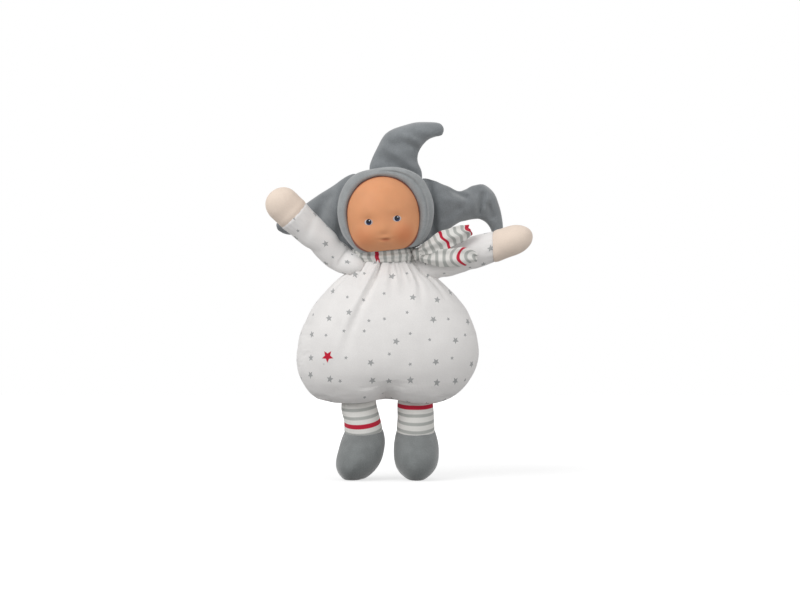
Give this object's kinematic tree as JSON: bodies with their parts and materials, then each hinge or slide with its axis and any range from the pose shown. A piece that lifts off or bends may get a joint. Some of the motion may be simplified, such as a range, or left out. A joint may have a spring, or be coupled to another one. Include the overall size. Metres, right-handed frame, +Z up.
{
  "type": "elf plush doll",
  "caption": "Soft stuffed elf doll with a gathered bag body, hooded head with floppy points, moulded face, mitt hands, striped stockings, boots and a knotted neck scarf.",
  "frame": {"origin": "on the surface that the doll stands on, under the middle of its box", "axes": "+Z up, the face looks along -Y, the doll's own left side is at +X"},
  "size_m": [0.2096, 0.082, 0.2786],
  "materials": {
    "star_print_jersey": "white cotton jersey with small scattered stars",
    "striped_jersey": "white and pale grey striped jersey with a few red stripes",
    "hood_velour": "mid grey short-pile velour",
    "hood_band_velour": "mid grey short-pile velour, a little lighter",
    "boot_velour": "mid grey short-pile velour",
    "hand_velour": "cream short-pile velour",
    "face_vinyl": "matte moulded vinyl with painted eyes and mouth",
    "fibre_filling": "loose white polyester fibre",
    "sewing_thread": "twisted off-white thread"
  },
  "bodies": {
    "torso": {"body_front_panel": "star_print_jersey", "body_back_panel": "star_print_jersey", "body_filling": "fibre_filling", "neck_core": "fibre_filling", "neck_gathering_thread": "sewing_thread", "scarf_neck_band": "striped_jersey", "scarf_knot": "striped_jersey"},
    "upper_tail": {"scarf_upper_tail": "striped_jersey"},
    "lower_tail": {"scarf_lower_tail": "striped_jersey"},
    "head": {"face_mask": "face_vinyl", "hood_face_band": "hood_band_velour", "hood_right_side": "hood_velour", "hood_left_side": "hood_velour", "head_filling": "fibre_filling"},
    "top_point": {"top_point_front": "hood_velour", "top_point_back": "hood_velour"},
    "right_point": {"right_point_front": "hood_velour", "right_point_back": "hood_velour"},
    "left_point": {"left_point_front": "hood_velour", "left_point_back": "hood_velour"},
    "right_arm": {"right_sleeve": "star_print_jersey", "right_hand": "hand_velour", "right_arm_filling": "fibre_filling"},
    "left_arm": {"left_sleeve": "star_print_jersey", "left_hand": "hand_velour", "left_arm_filling": "fibre_filling"},
    "right_leg": {"right_stocking": "striped_jersey", "right_boot": "boot_velour", "right_leg_filling": "fibre_filling"},
    "left_leg": {"left_stocking": "striped_jersey", "left_boot": "boot_velour", "left_leg_filling": "fibre_filling"}
  },
  "joints": [
    {"name": "head_turn", "type": "hinge", "parent": "torso", "child": "head", "pos_m": [-0.00699, -0.00243, 0.174], "axis": [-0.0872, 0, 0.9962], "range_deg": [-11, 11], "stiffness_Nm_per_rad": 0.05},
    {"name": "right_shoulder", "type": "hinge", "parent": "torso", "child": "right_arm", "pos_m": [-0.03949, -0.00243, 0.167], "axis": [0, 1, 0], "range_deg": [-48, 4]},
    {"name": "left_shoulder", "type": "hinge", "parent": "torso", "child": "left_arm", "pos_m": [0.02451, -0.00243, 0.167], "axis": [0, -1, 0], "range_deg": [-20, 24]},
    {"name": "right_hip", "type": "hinge", "parent": "torso", "child": "right_leg", "pos_m": [-0.02909, -0.00243, 0.0588], "axis": [-1, 0, 0], "range_deg": [-32, 32]},
    {"name": "left_hip", "type": "hinge", "parent": "torso", "child": "left_leg", "pos_m": [0.01411, -0.00243, 0.0588], "axis": [-1, 0, 0], "range_deg": [-32, 32]},
    {"name": "top_point_flop", "type": "hinge", "parent": "head", "child": "top_point", "pos_m": [-0.00074, -0.00143, 0.24052], "axis": [0.9962, 0, 0.0872], "range_deg": [-12, 12], "stiffness_Nm_per_rad": 0.02},
    {"name": "right_point_flop", "type": "hinge", "parent": "head", "child": "right_point", "pos_m": [-0.04386, 0.00557, 0.2165], "axis": [0.0872, 0, -0.9962], "range_deg": [-10, 7], "stiffness_Nm_per_rad": 0.02},
    {"name": "left_point_flop", "type": "hinge", "parent": "head", "child": "left_point", "pos_m": [0.02438, 0.00557, 0.2153], "axis": [0.0872, 0, -0.9962], "range_deg": [-10, 10], "stiffness_Nm_per_rad": 0.02},
    {"name": "upper_tail_lift", "type": "hinge", "parent": "torso", "child": "upper_tail", "pos_m": [0.01703, -0.01593, 0.1749], "axis": [0.0872, 0, -0.9962], "range_deg": [0, 70]},
    {"name": "lower_tail_lift", "type": "hinge", "parent": "torso", "child": "lower_tail", "pos_m": [0.01703, -0.01593, 0.1749], "axis": [0.0872, 0, -0.9962], "range_deg": [0, 70]}
  ]
}
